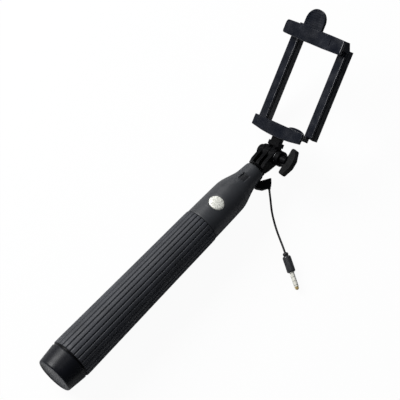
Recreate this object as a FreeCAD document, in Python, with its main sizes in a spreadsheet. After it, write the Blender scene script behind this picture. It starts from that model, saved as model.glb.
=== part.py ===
"""Extending hand stick with a ribbed grip, a shutter button, a swivelling head and a sprung phone clamp.

Millimetres. Each sub-part is a body of one document, sized from the sheet "dims".
Four working frames are used:
  stick   X along the stick from the end cap's flat face to the head, Z up from the surface it lies on
  trigger the stick frame rolled about X, so that its Z runs through the shutter button
  hinge   origin on the tilt pivot, X along the stick, Z along the pivot screw towards the thumb knob
  clamp   the hinge frame turned about the pivot, X from the pivot to the top jaw, Y out of the front
"""
import FreeCAD
import Part
import math
import os
import Sketcher

Vector = FreeCAD.Vector
Rotation = FreeCAD.Rotation
Placement = FreeCAD.Placement

DIMENSIONS = {
    # place of the whole object: its origin is on the surface, below the middle of the box it fills
    "origin_along": 167.91, "origin_across": 21.21, "rest_height": 17.07,
    # end cap and its seal
    "cap_length": 16.4, "cap_face_radius": 14.2, "cap_small_radius": 15.05, "cap_large_radius": 16.75,
    "cap_spigot_end": 30.0, "cap_spigot_radius": 11.4, "cap_wall": 2.0, "seal_length": 1.5, "seal_radius": 16.0,
    # handle tube and ribbed grip
    "handle_tube_end": 168.0, "handle_tube_radius": 12.7, "handle_tube_bore": 11.5,
    "grip_end": 160.2, "grip_large_radius": 17.06, "grip_small_radius": 14.92,
    "grip_groove_radius": 0.62, "grip_rib_count": 26.0, "grip_chamfer": 0.5,
    # upper housing, with its shoulder and collar
    "housing_start": 160.5, "housing_radius": 14.45, "shoulder_along": 195.6, "shoulder_radius": 13.85,
    "collar_along": 212.2, "collar_radius": 8.75, "collar_end": 222.4, "collar_end_radius": 8.0,
    "housing_bore": 11.8, "collar_bore": 6.95, "housing_bore_end": 192.0, "collar_bore_start": 204.0,
    "shoulder_blend": 7.0, "collar_lip_blend": 1.0,
    "notch_along": 208.6, "notch_length": 7.0, "notch_width": 5.4, "notch_floor": 8.4,
    # shutter button, switch and circuit board
    "button_along": 177.2, "button_roll": 14.0, "button_half_length": 5.1, "button_half_width": 6.2,
    "button_base": 9.5, "button_flange_top": 10.2, "button_top": 14.75, "button_gap": 0.2,
    "board_along": 166.5, "board_length": 17.5, "board_width": 15.0, "board_base": 7.1, "board_thickness": 0.8,
    "switch_size": 6.0, "switch_height": 0.55, "plunger_radius": 1.7, "plunger_top": 8.6,
    # telescopic tubes: the fixed one first, each next one smaller and a little further out
    "tube_radius": 6.9, "tube_step": 0.9, "tube_wall": 0.5, "tube_back": 24.0, "tube_back_step": 3.0,
    "tube_mouth": 221.4, "tube_mouth_step": 0.35, "neck_length": 5.0, "slide_gap": 0.05, "bush_length": 10.0,
    "rear_bush_along": 36.0, "front_bush_along": 184.6, "bush_seat_length": 7.0,
    # lead: lug, boot, cord and plug
    "lug_base": -5.4, "lug_height": 5.0, "lug_blend": 0.6, "boot_length": 2.4, "boot_radius": 1.3,
    "cord_radius": 0.8,
    "plug_angle": -118.9, "plug_boot_length": 3.0, "plug_boot_radius": 2.2, "plug_body_length": 12.8,
    "plug_body_radius": 3.3, "plug_collar_length": 0.4, "plug_collar_radius": 2.2, "pin_radius": 1.75,
    "pin_length": 14.0, "pin_core_radius": 1.3, "ring_first": 3.6, "ring_pitch": 3.2, "ring_width": 0.7,
    # tilt hinge: fork, screw, nut, washer and thumb knob
    "pivot_along": 240.6, "head_roll": 47.8, "fork_base_start": 223.4, "fork_base_length": 1.6,
    "fork_base_radius": 7.4, "stem_start": 204.0, "plate_thickness": 3.0, "plate_pitch": 6.0,
    "plate_tip_radius": 6.3, "plate_root_upper": 3.6, "plate_root_lower": 2.8,
    "bore_radius": 2.05, "screw_radius": 2.0,
    "nut_boss_radius": 4.9, "nut_boss_length": 3.2, "nut_across_flats": 7.0, "nut_length": 2.8,
    "washer_radius": 5.2, "washer_length": 0.8, "knob_start": 8.5, "knob_boss_radius": 6.0,
    "knob_boss_length": 4.2, "knob_stem_radius": 3.9, "wing_start": 17.4, "wing_tip_end": 21.2,
    "wing_peak": 24.4, "wing_half_length": 10.9, "wing_thickness": 4.8, "wing_angle": 20.0,
    # tilt knuckle between the fork and the clamp
    "tilt_angle": 33.3, "prong_thickness": 2.4, "prong_radius": 6.0, "neck_start": 7.0, "neck_half_width": 4.6,
    "neck_back": -2.6, "neck_front": 1.2, "flange_half_width": 5.4, "flange_end": 10.4, "neck_root_back": -4.4,
    # lower jaw
    "jaw_half_width": 25.9, "jaw_bottom": 16.0, "jaw_bow": 2.2, "floor_base": 20.3, "floor_top": 21.9,
    "jaw_lip_top": 24.3, "jaw_front": 5.0, "jaw_lip_back": 2.9, "jaw_back": -10.7, "jaw_edge_blend": 1.1,
    "dome_centre": 6.5, "dome_radius": 9.0, "dome_base": 19.4, "dome_thickness": 1.4,
    "jaw_pad_half_width": 19.0, "pad_thickness": 0.7,
    # clamp rails and the legs that slide on them
    "rail_outer": 28.8, "rail_inner": 20.9, "rail_bottom": 21.95, "rail_top": 94.9,
    "rail_back": -10.7, "rail_front": -5.5, "rail_wall": 0.6, "rail_slot_half": 1.4,
    "foot_inner": 9.5, "foot_thickness": 0.8, "foot_front": -6.7, "leg_front": -3.0, "leg_back": -4.7,
    "leg_bottom": 23.1, "leg_clearance": 0.3, "leg_head_top": 88.0, "groove_half_width": 1.3, "groove_depth": 1.9,
    "spring_radius": 0.8, "spring_bore": 0.5, "spring_seat": 0.1, "spring_start": 26.0, "spring_end": 82.0,
    "foot_screw_radius": 1.2, "foot_screw_height": 0.7, "foot_screw_across": 12.4,
    # top jaw and thumb tab
    "top_half_width": 30.7, "top_lip_bottom": 89.3, "top_ceiling": 93.0, "top_top": 100.8, "top_front": 6.6,
    "top_lip_back": 4.4, "top_back": -4.9, "top_edge_blend": 1.2, "top_hollow_top": 98.4,
    "nib_start": -20.6, "nib_length": 3.0, "nib_height": 0.9, "tab_half_width": 9.4, "tab_top": 115.9,
    "tab_front": 5.6, "tab_back": 3.0, "tab_offset": -4.7,
    "tab_rib_count": 7.0, "tab_rib_pitch": 1.9, "tab_rib_depth": 0.4, "top_pad_half_width": 24.0,
}

# plan of the lead's lug, in the stick frame
LUG_PLAN = [
    (212.6, -7.2), (213.2, -10.6), (216.0, -14.6), (221.8, -17.6), (224.6, -15.4), (227.2, -12.8), (219.8, -8.8),
    (218.5, -7.2),
]
LUG_EXIT = Vector(221.6, -16.2, -2.9)
LUG_EXIT_DIRECTION = Vector(-0.40, -0.70, -0.59)

# route of the lead, in the stick frame, from its boot to its plug
CORD_ROUTE = [
    (220.64, -17.88, -4.32), (219.20, -20.40, -6.44), (216.70, -25.20, -11.00), (213.40, -30.40, -14.90),
    (209.60, -36.40, -16.25), (205.60, -42.90, -16.25), (201.90, -49.40, -15.40), (197.93, -56.40, -13.75),
    (196.00, -59.90, -13.75),
]

doc = FreeCAD.newDocument("stick")
sheet = doc.addObject("Spreadsheet::Sheet", "dims")


class Size:
    """A length that keeps both its number and the formula on the sheet that gives it."""

    def __init__(self, value, text):
        self.value = float(value)
        self.text = text

    def __add__(self, other):
        other = size(other)
        return Size(self.value + other.value, f"({self.text} + {other.text})")

    def __sub__(self, other):
        other = size(other)
        return Size(self.value - other.value, f"({self.text} - {other.text})")

    def __mul__(self, factor):
        return Size(self.value * factor, f"({self.text} * {factor})")

    def __neg__(self):
        return Size(-self.value, f"(-1 * {self.text})")


def size(item):
    """Turn a sheet name or a plain number into a Size."""
    if isinstance(item, Size):
        return item
    if isinstance(item, str):
        return Size(DIMENSIONS[item], f"dims.{item}")
    return Size(item, f"({float(item)})")


def fill_sheet():
    for row, (name, value) in enumerate(DIMENSIONS.items(), start=1):
        sheet.set(f"A{row}", name)
        sheet.set(f"B{row}", str(value))
        sheet.setAlias(f"B{row}", name)
    doc.recompute()


def stick_frame():
    d = DIMENSIONS
    return Placement(Vector(-d["origin_along"], -d["origin_across"], d["rest_height"]), Rotation())


def trigger_frame():
    return stick_frame() * Placement(Vector(), Rotation(Vector(1, 0, 0), -DIMENSIONS["button_roll"]))


def hinge_frame():
    roll = Rotation(Vector(1, 0, 0), DIMENSIONS["head_roll"])
    return stick_frame() * Placement(Vector(DIMENSIONS["pivot_along"], 0, 0), roll)


def clamp_frame():
    return hinge_frame() * Placement(Vector(), Rotation(Vector(0, 0, 1), DIMENSIONS["tilt_angle"]))


def knob_frame():
    return hinge_frame() * Placement(Vector(), Rotation(Vector(0, 0, 1), DIMENSIONS["wing_angle"]))


def plug_frame():
    return stick_frame() * Placement(Vector(*CORD_ROUTE[-1]), Rotation(Vector(0, 0, 1), DIMENSIONS["plug_angle"]))


def new_body(label, frame):
    body = doc.addObject("PartDesign::Body", label)
    body.Label = label
    body.Placement = frame
    return body


def new_sketch(body, role, offset):
    """A sketch on one of the body's own origin planes, moved by offset along the plane's normal."""
    sketch = body.newObject("Sketcher::SketchObject", f"{body.Name}_sketch")
    plane = next(item for item in body.Origin.OriginFeatures if item.Role == role)
    sketch.AttachmentSupport = (plane, [""])
    sketch.MapMode = "FlatFace"
    offset = size(offset)
    sketch.AttachmentOffset = Placement(Vector(0, 0, offset.value), Rotation())
    sketch.setExpression("AttachmentOffset.Base.z", offset.text)
    return sketch


def pin_point(sketch, geometry, end, across, upward):
    """Tie a point of the sketch to two sizes, measured from the sketch's origin."""
    for kind, item in (("DistanceX", size(across)), ("DistanceY", size(upward))):
        index = sketch.addConstraint(Sketcher.Constraint(kind, -1, 1, geometry, end, item.value))
        sketch.setExpression(f"Constraints[{index}]", item.text)


def polygon(*points):
    """A closed outline through the points, each given by two sizes."""
    def draw(sketch):
        places = [Vector(size(a).value, size(b).value, 0) for a, b in points]
        count = len(places)
        first = sketch.GeometryCount
        for index in range(count):
            sketch.addGeometry(Part.LineSegment(places[index], places[(index + 1) % count]), False)
        for index in range(count):
            following = first + (index + 1) % count
            sketch.addConstraint(Sketcher.Constraint("Coincident", first + index, 2, following, 1))
        for index, (across, upward) in enumerate(points):
            pin_point(sketch, first + index, 1, across, upward)
    return draw


def circle(radius, across=0.0, upward=0.0):
    def draw(sketch):
        middle = Vector(size(across).value, size(upward).value, 0)
        index = sketch.addGeometry(Part.Circle(middle, Vector(0, 0, 1), size(radius).value), False)
        constraint = sketch.addConstraint(Sketcher.Constraint("Radius", index, size(radius).value))
        sketch.setExpression(f"Constraints[{constraint}]", size(radius).text)
        pin_point(sketch, index, 3, across, upward)
    return draw


def oval(half_length, half_width, across):
    """An ellipse, wider than it is long, centred on the sketch's horizontal axis."""
    def draw(sketch):
        middle = Vector(size(across).value, 0, 0)
        major = size(half_width).value
        minor = size(half_length).value
        shape = Part.Ellipse(middle + Vector(0, major, 0), middle - Vector(minor, 0, 0), middle)
        index = sketch.addGeometry(shape, False)
        sketch.exposeInternalGeometry(index)
        sketch.addConstraint(Sketcher.Constraint("Vertical", index + 1))
        for line, width in ((index + 1, size(half_width) * 2), (index + 2, size(half_length) * 2)):
            constraint = sketch.addConstraint(Sketcher.Constraint("Distance", line, width.value))
            sketch.setExpression(f"Constraints[{constraint}]", width.text)
        pin_point(sketch, index, 3, across, 0.0)
    return draw


def slab(body, role, low, high, *drawings, cut=False):
    """Add or cut the drawn outline between two heights along the plane's axis."""
    low = size(low)
    high = size(high)
    offset = -high if role == "XZ_Plane" else low
    sketch = new_sketch(body, role, offset)
    for draw in drawings:
        draw(sketch)
    doc.recompute()
    before = body.Shape.Volume if cut else 0.0
    feature = body.newObject("PartDesign::Pocket" if cut else "PartDesign::Pad", f"{body.Name}_slab")
    feature.Profile = sketch
    feature.Length = (high - low).value
    feature.setExpression("Length", (high - low).text)
    if cut:
        feature.Reversed = True
    doc.recompute()
    if cut and body.Shape.Volume > before - 1e-4:
        raise RuntimeError(f"{body.Label}: a cut between {low.value} and {high.value} removed nothing")
    return feature


def turn(body, *points, role="XY_Plane", axis="H_Axis", cut=False):
    """Turn a closed outline once round an axis of its sketch."""
    sketch = new_sketch(body, role, 0.0)
    polygon(*points)(sketch)
    doc.recompute()
    before = body.Shape.Volume if cut else 0.0
    feature = body.newObject("PartDesign::Groove" if cut else "PartDesign::Revolution", f"{body.Name}_turn")
    feature.Profile = sketch
    feature.ReferenceAxis = (sketch, [axis])
    feature.Angle = 360.0
    doc.recompute()
    if cut and body.Shape.Volume > before - 1e-4:
        raise RuntimeError(f"{body.Label}: a groove removed nothing")
    return feature


def edges_where(body, test):
    return [f"Edge{index}" for index, edge in enumerate(body.Shape.Edges, start=1) if test(edge)]


def blend(body, radius, test, kind="PartDesign::Fillet"):
    """Round, or chamfer, the edges of the body that pass the test."""
    names = edges_where(body, test)
    if not names:
        raise RuntimeError(f"{body.Label}: no edge to blend")
    base = body.Tip
    feature = body.newObject(kind, f"{body.Name}_blend")
    feature.Base = (base, names)
    measure = "Radius" if kind.endswith("Fillet") else "Size"
    feature.setExpression(measure, size(radius).text)
    doc.recompute()
    return feature


def local(body, point):
    return body.Placement.inverse().multVec(point)


def ring_edge_at(body, along):
    """Test for a full circle round the local X axis at a given place."""
    def test(edge):
        centre = local(body, edge.BoundBox.Center)
        return abs(centre.x - along) < 0.02 and abs(centre.y) < 0.05 and edge.isClosed() and edge.Length > 1.0
    return test


def parallel_to(body, axis):
    """Test for straight edges along a local axis of the body."""
    direction = body.Placement.Rotation.multVec(axis)

    def test(edge):
        if not isinstance(edge.Curve, Part.Line):
            return False
        return edge.tangentAt(edge.FirstParameter).cross(direction).Length < 1e-6
    return test


def tube(label, frame, start, end, outer, inner):
    body = new_body(label, frame)
    slab(body, "YZ_Plane", start, end, circle(outer), circle(inner))
    return body


def rod(label, frame, start, end, radius):
    body = new_body(label, frame)
    slab(body, "YZ_Plane", start, end, circle(radius))
    return body


# ---------------------------------------------------------------- handle

def build_end_cap():
    body = new_body("end_cap", stick_frame())
    lip = size("cap_length") - 0.7
    spigot_bore = size("cap_spigot_radius") - "cap_wall"
    turn(
        body,
        (0.0, 0.0), (0.0, "cap_face_radius"), (0.9, "cap_small_radius"), (lip, "cap_large_radius"),
        ("cap_length", size("cap_large_radius") - 0.6), ("cap_length", "cap_spigot_radius"),
        ("cap_spigot_end", "cap_spigot_radius"), ("cap_spigot_end", spigot_bore), (3.0, spigot_bore), (3.0, 0.0),
    )
    tube("cap_seal", stick_frame(), "cap_length", size("cap_length") + "seal_length", "seal_radius",
         "cap_spigot_radius")


def build_grip():
    start = size("cap_length") + "seal_length"
    tube("handle_tube", stick_frame(), start, "handle_tube_end", "handle_tube_radius", "handle_tube_bore")
    body = new_body("rubber_grip", stick_frame())
    bevel = size("grip_chamfer")
    turn(
        body,
        (start, "handle_tube_radius"), (start, size("grip_large_radius") - bevel),
        (start + bevel, "grip_large_radius"), (size("grip_end") - bevel, "grip_small_radius"),
        ("grip_end", size("grip_small_radius") - bevel), ("grip_end", "handle_tube_radius"),
    )
    near = new_sketch(body, "YZ_Plane", start - 1.0)
    circle("grip_groove_radius", 0.0, "grip_large_radius")(near)
    far = new_sketch(body, "YZ_Plane", size("grip_end") + 1.0)
    circle("grip_groove_radius", 0.0, "grip_small_radius")(far)
    doc.recompute()
    groove = body.newObject("PartDesign::SubtractiveLoft", "grip_groove")
    groove.Profile = near
    groove.Sections = [far]
    groove.Ruled = True
    doc.recompute()
    pattern = body.newObject("PartDesign::PolarPattern", "grip_grooves")
    pattern.Originals = [groove]
    pattern.Axis = (near, ["N_Axis"])
    pattern.Angle = 360.0
    pattern.Occurrences = int(DIMENSIONS["grip_rib_count"])
    pattern.setExpression("Occurrences", "dims.grip_rib_count")
    body.Tip = pattern
    doc.recompute()


def build_housing():
    body = new_body("upper_housing", trigger_frame())
    turn(
        body,
        ("housing_start", "handle_tube_radius"), ("housing_start", "housing_radius"),
        ("shoulder_along", "shoulder_radius"), ("collar_along", "collar_radius"),
        ("collar_end", "collar_end_radius"), ("collar_end", "collar_bore"), ("collar_bore_start", "collar_bore"),
        ("housing_bore_end", "housing_bore"), ("handle_tube_end", "housing_bore"),
        ("handle_tube_end", "handle_tube_radius"),
    )
    shoulder = ring_edge_at(body, DIMENSIONS["shoulder_along"])
    collar = ring_edge_at(body, DIMENSIONS["collar_along"])
    blend(body, "shoulder_blend", lambda edge: shoulder(edge) or collar(edge))
    end_ring = ring_edge_at(body, DIMENSIONS["collar_end"])
    outer_length = 2 * math.pi * (DIMENSIONS["collar_bore"] + 0.3)
    blend(body, 0.8, lambda edge: end_ring(edge) and edge.Length > outer_length)
    gap = size("button_gap")
    slab(
        body, "XY_Plane", "button_base", size("housing_radius") + 2.0,
        oval(size("button_half_length") + gap, size("button_half_width") + gap, "button_along"), cut=True,
    )
    half_length = size("notch_length") * 0.5
    half_width = size("notch_width") * 0.5
    start = size("notch_along") - half_length
    end = size("notch_along") + half_length
    slab(
        body, "XY_Plane", "notch_floor", "housing_radius",
        polygon((start, -half_width), (end, -half_width), (end, half_width), (start, half_width)), cut=True,
    )
    for name, place in (("rear_bush", "rear_bush_along"), ("front_bush", "front_bush_along")):
        outer = "handle_tube_bore" if name == "rear_bush" else "housing_bore"
        tube(name, trigger_frame(), place, size(place) + "bush_seat_length", outer, "tube_radius")


def build_button():
    body = new_body("shutter_button", trigger_frame())
    ear = size("button_half_length") + 1.6
    width = size("button_half_width") - 0.9
    low = size("button_along") - ear
    high = size("button_along") + ear
    slab(body, "XY_Plane", "button_base", "button_flange_top",
         polygon((low, -width), (high, -width), (high, width), (low, width)))
    slab(body, "XY_Plane", "button_flange_top", "button_top",
         oval("button_half_length", "button_half_width", "button_along"))
    top = local_height_test(body, DIMENSIONS["button_top"])
    blend(body, 0.45, top)

    board = new_body("circuit_board", trigger_frame())
    end = size("board_along") + "board_length"
    half = size("board_width") * 0.5
    board_top = size("board_base") + "board_thickness"
    slab(board, "XY_Plane", "board_base", board_top,
         polygon(("board_along", -half), (end, -half), (end, half), ("board_along", half)))

    switch = new_body("button_switch", trigger_frame())
    reach = size("switch_size") * 0.5
    low = size("button_along") - reach
    high = size("button_along") + reach
    switch_top = board_top + "switch_height"
    slab(switch, "XY_Plane", board_top, switch_top,
         polygon((low, -reach), (high, -reach), (high, reach), (low, reach)))
    slab(switch, "XY_Plane", switch_top, "plunger_top", circle("plunger_radius", "button_along", 0.0))


def local_height_test(body, height):
    """Test for edges that lie at one height along the local Z axis."""
    def test(edge):
        box = [local(body, vertex.Point).z for vertex in edge.Vertexes]
        return all(abs(value - height) < 1e-4 for value in box)
    return test


def build_tubes():
    """The fixed tube and four that slide, each necked in at its mouth round the next one."""
    for index in range(5):
        label = "base_tube" if index == 0 else f"tube_{index}"
        outer = size("tube_radius") - size("tube_step") * index
        inner = outer - "tube_wall"
        neck = outer - "tube_step" + "slide_gap"
        back = size("tube_back") + size("tube_back_step") * index
        mouth = size("tube_mouth") + size("tube_mouth_step") * index
        neck_start = mouth - "neck_length"
        if index == 4:
            neck = inner
        body = new_body(label, stick_frame())
        slab(body, "YZ_Plane", back, neck_start, circle(outer), circle(inner))
        slab(body, "YZ_Plane", neck_start, mouth, circle(outer), circle(neck))
        if index:
            bore = outer + size("tube_step") - "tube_wall"
            tube(f"tube_{index}_bush", stick_frame(), back + 0.5, back + size("bush_length"), bore - "slide_gap",
                 outer)


# ---------------------------------------------------------------- lead

def build_lug():
    body = new_body("cable_lug", stick_frame())
    slab(body, "XY_Plane", "lug_base", size("lug_base") + "lug_height", polygon(*LUG_PLAN))
    blend(body, "lug_blend", parallel_to(body, Vector(0, 0, 1)))
    direction = LUG_EXIT_DIRECTION
    turn_to = Rotation(Vector(1, 0, 0), direction)
    boot = new_body("cable_boot", stick_frame() * Placement(LUG_EXIT, turn_to))
    tip = size("cord_radius") + 0.25
    turn(boot, (0.0, 0.0), (0.0, "boot_radius"), ("boot_length", tip), ("boot_length", 0.0))


def cord_path(points):
    """Straight runs joined by tangent arcs, each arc as large as its two runs allow."""
    share = 0.45
    edges = []
    radii = []
    last = points[0]
    for before, corner, after in zip(points, points[1:], points[2:]):
        back = before - corner
        ahead = after - corner
        trim = share * min(back.Length, ahead.Length)
        back.normalize()
        ahead.normalize()
        half_turn = (math.pi - back.getAngle(ahead)) / 2
        radii.append(trim / math.tan(half_turn))
        start = corner + back * trim
        end = corner + ahead * trim
        middle_direction = (back + ahead).normalize()
        distance = radii[-1] / math.cos(half_turn) - radii[-1]
        middle = corner + middle_direction * distance
        edges.append(Part.LineSegment(last, start).toShape())
        edges.append(Part.Arc(start, middle, end).toShape())
        last = end
    edges.append(Part.LineSegment(last, points[-1]).toShape())
    return Part.Wire(edges), radii


def build_cord():
    points = [Vector(*place) for place in CORD_ROUTE]
    path, radii = cord_path(points)
    radius = DIMENSIONS["cord_radius"]
    direction = (points[1] - points[0]).normalize()
    section = Part.Wire([Part.Circle(points[0], direction, radius).toShape()])
    solid = path.makePipeShell([section], True, False)
    body = doc.addObject("Part::Feature", "lead_cord")
    body.Label = "lead_cord"
    body.Shape = solid
    body.Placement = stick_frame()
    expected = math.pi * radius ** 2 * path.Length
    print("cord length", round(path.Length, 2), "arc radii", [round(value, 1) for value in radii])
    print("cord volume", round(solid.Volume, 2), "section times length", round(expected, 2))


def build_plug():
    frame = plug_frame()
    boot = new_body("plug_boot", frame)
    turn(boot, (0.0, 0.0), (0.0, size("cord_radius") + 0.5), (1.2, "plug_boot_radius"),
         ("plug_boot_length", size("plug_boot_radius") - 0.3), ("plug_boot_length", 0.0))
    shell = new_body("plug_shell", frame)
    start = size("plug_boot_length")
    end = start + "plug_body_length"
    turn(
        shell,
        (start, 0.0), (start, size("plug_body_radius") - 0.6), (start + 0.9, "plug_body_radius"),
        (end - 1.0, "plug_body_radius"), (end, size("plug_body_radius") - 0.5), (end, 0.0),
    )
    collar_end = end + "plug_collar_length"
    rod("plug_collar", frame, end, collar_end, "plug_collar_radius")
    pin = new_body("plug_pin", frame)
    core = size("pin_core_radius")
    full = size("pin_radius")
    outline = [(collar_end, 0.0), (collar_end, full)]
    for index in range(3):
        groove = collar_end + "ring_first" + size("ring_pitch") * index
        groove_end = groove + "ring_width"
        outline += [(groove, full), (groove, core), (groove_end, core), (groove_end, full)]
        insulator = tube(f"ring_{index}", frame, groove, groove_end, full, core)
        insulator.Label = f"plug_insulator_{index + 1}"
    tip = collar_end + "pin_length"
    outline += [(tip - 2.6, full), (tip - 1.9, size("pin_radius") - 0.45), (tip - 1.3, full - 0.05),
                (tip, 0.5), (tip, 0.0)]
    turn(pin, *outline)


# ---------------------------------------------------------------- tilt hinge

def plate_centres():
    pitch = size("plate_pitch")
    return [-pitch, size(0.0), pitch]


def build_fork():
    body = new_body("fork", hinge_frame())
    pivot = size("pivot_along")
    base = size("fork_base_start") - pivot
    base_end = base + "fork_base_length"
    stem = size("stem_start") - pivot
    stem_radius = size("tube_radius") - size("tube_step") * 4 - "tube_wall" - "slide_gap"
    slab(body, "YZ_Plane", base, base_end, circle("fork_base_radius"))
    slab(body, "YZ_Plane", stem, base, circle(stem_radius))
    half = size("plate_thickness") * 0.5
    upper = size("plate_root_upper")
    lower = size("plate_root_lower")
    for centre in plate_centres():
        low = centre - half
        high = centre + half
        slab(body, "XY_Plane", low, high, polygon(
            (base_end - 0.2, -lower), (-12.0, -lower - 1.0), (-2.0, -lower - 2.4), (-2.0, upper + 2.2),
            (-12.0, upper + 1.5), (base_end - 0.2, upper)))
        slab(body, "XY_Plane", low, high, circle("plate_tip_radius"))
    outside = size("plate_pitch") + half
    boss_end = outside + "nut_boss_length"
    slab(body, "XY_Plane", -boss_end, -outside, circle("nut_boss_radius"))
    slab(body, "XY_Plane", -boss_end - 1.0, outside + 1.0, circle("bore_radius"), cut=True)
    slab(body, "XY_Plane", -boss_end - 1.0, -outside - 0.2, hexagon(size("nut_across_flats") + 0.06), cut=True)


def hexagon(across_flats):
    """A hexagon round the sketch's origin, with a pair of flats across the horizontal axis."""
    flat = size(across_flats) * 0.5
    corner = size(across_flats) * (1 / math.sqrt(3))
    side = corner * 0.5
    return polygon((flat, -side), (flat, side), (0.0, corner), (-flat, side), (-flat, -side), (0.0, -corner))


def build_hinge_hardware():
    outside = size("plate_pitch") + size("plate_thickness") * 0.5
    nut = new_body("hinge_nut", hinge_frame())
    slab(nut, "XY_Plane", -outside - "nut_length" - 0.2, -outside - 0.2, hexagon("nut_across_flats"),
         circle("bore_radius"))
    washer = new_body("hinge_washer", hinge_frame())
    slab(washer, "XY_Plane", outside, outside + "washer_length", circle("washer_radius"), circle("bore_radius"))
    screw = new_body("hinge_screw", knob_frame())
    slab(screw, "XY_Plane", -outside - "nut_boss_length" - 0.6, size("knob_start") + 6.0, circle("screw_radius"))
    knob = new_body("thumb_knob", knob_frame())
    boss_end = size("knob_start") + "knob_boss_length"
    slab(knob, "XY_Plane", "knob_start", boss_end, circle("knob_boss_radius"))
    slab(knob, "XY_Plane", boss_end, "wing_start", circle("knob_stem_radius"))
    half = size("wing_thickness") * 0.5
    reach = size("wing_half_length")
    shoulder = reach - 1.3
    slab(
        knob, "XZ_Plane", -half, half,
        polygon((-shoulder, "wing_start"), (shoulder, "wing_start"), (reach, size("wing_start") + 1.2),
                (reach, "wing_tip_end"), (3.0, "wing_peak"), (-3.0, "wing_peak"), (-reach, "wing_tip_end"),
                (-reach, size("wing_start") + 1.2)),
    )
    slab(knob, "XY_Plane", size("knob_start") - 1.0, size("knob_start") + 6.0, circle("screw_radius"), cut=True)


def build_knuckle():
    body = new_body("tilt_knuckle", clamp_frame())
    half_prong = size("prong_thickness") * 0.5
    half_pitch = size("plate_pitch") * 0.5
    for centre in (-half_pitch, half_pitch):
        low = centre - half_prong
        high = centre + half_prong
        slab(body, "XY_Plane", low, high, circle("prong_radius"))
        slab(body, "XY_Plane", low, high, polygon((0.0, -5.2), (size("neck_start") + 0.5, -4.4),
                                                  (size("neck_start") + 0.5, 2.2), (0.0, 5.0)))
    flange = size("flange_half_width")
    slab(body, "XY_Plane", -flange, flange, polygon(
        ("neck_start", "neck_root_back"), ("flange_end", "neck_root_back"), ("flange_end", size("neck_front") + 1.0),
        ("neck_start", size("neck_front") + 1.0)))
    width = size("neck_half_width")
    slab(body, "XY_Plane", -width, width, polygon(
        (size("neck_start") + 0.5, "neck_back"), ("floor_base", "neck_back"), ("floor_base", "neck_front"),
        (size("neck_start") + 0.5, "neck_front")))
    slab(body, "XY_Plane", -10.0, 10.0, circle("bore_radius"), cut=True)
    screw = new_body("knuckle_screw", clamp_frame())
    middle = (size("neck_back") + "neck_front") * 0.5
    slab(screw, "YZ_Plane", size("floor_base") + 0.8, "floor_top", circle(1.7, middle, 0.0))
    slab(screw, "YZ_Plane", size("neck_start") + 5.0, size("floor_base") + 0.8, circle(0.9, middle, 0.0))
    slab(body, "YZ_Plane", size("neck_start") + 5.0, "floor_base", circle(0.9, middle, 0.0), cut=True)


# ---------------------------------------------------------------- phone clamp

def build_bottom_jaw():
    body = new_body("bottom_jaw", clamp_frame())
    half = size("jaw_half_width")
    bow = size("jaw_bottom") - "jaw_bow"
    slab(
        body, "XZ_Plane", "jaw_lip_back", "jaw_front",
        polygon(("jaw_bottom", -half), (size("jaw_bottom") - 1.6, -half * 0.55), (bow, -half * 0.2),
                (bow, half * 0.2), (size("jaw_bottom") - 1.6, half * 0.55), ("jaw_bottom", half),
                ("jaw_lip_top", half), ("jaw_lip_top", -half)),
    )
    blend(body, "jaw_edge_blend", lambda edge: edge_at(body, edge, "y", DIMENSIONS["jaw_front"]))
    inner = size("rail_inner") - 0.25
    slab(
        body, "XY_Plane", -inner, inner,
        polygon(("floor_base", "jaw_back"), ("floor_top", "jaw_back"), ("floor_top", "jaw_lip_back"),
                ("floor_base", "jaw_lip_back")),
    )
    skirt = size("jaw_bottom") + 2.0
    slab(
        body, "XY_Plane", -half + 1.5, -half + 3.5,
        polygon((skirt, "jaw_lip_back"), ("floor_top", "jaw_lip_back"), ("floor_top", -4.6),
                ("floor_base", -4.6)),
    )
    slab(
        body, "XY_Plane", half - 3.5, half - 1.5,
        polygon((skirt, "jaw_lip_back"), ("floor_top", "jaw_lip_back"), ("floor_top", -4.6),
                ("floor_base", -4.6)),
    )
    back_wall = size("jaw_back") + "dome_thickness"
    slab(
        body, "XZ_Plane", "jaw_back", back_wall,
        polygon(("jaw_bottom", -inner), ("floor_top", -inner), ("floor_top", inner), ("jaw_bottom", inner)),
    )
    slab(
        body, "XZ_Plane", "jaw_back", back_wall,
        polygon(("floor_base", size("dome_centre") - 8.6), ("floor_top", size("dome_centre") - 8.6),
                (24.0, size("dome_centre") - 6.6), (25.4, size("dome_centre") - 3.0),
                (25.4, size("dome_centre") + 3.0), (24.0, size("dome_centre") + 6.6),
                ("floor_top", size("dome_centre") + 8.6), ("floor_base", size("dome_centre") + 8.6)),
    )
    middle = (size("neck_back") + "neck_front") * 0.5
    slab(body, "YZ_Plane", size("floor_base") - 1.0, size("floor_top") + 1.0, circle(0.95, middle, 0.0), cut=True)
    slab(body, "YZ_Plane", size("floor_base") + 0.8, size("floor_top") + 1.0, circle(1.75, middle, 0.0), cut=True)

    pad = new_body("bottom_pad", clamp_frame())
    reach = size("jaw_pad_half_width")
    pad_top = size("floor_top") + "pad_thickness"
    slab(pad, "XY_Plane", -reach, reach, polygon(("floor_top", -5.9), (pad_top, -5.9), (pad_top, 2.7),
                                                 ("floor_top", 2.7)))


def edge_at(body, edge, axis, value):
    """True for an edge that lies wholly at one value of a local coordinate."""
    return all(abs(getattr(local(body, vertex.Point), axis) - value) < 1e-4 for vertex in edge.Vertexes)


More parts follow.
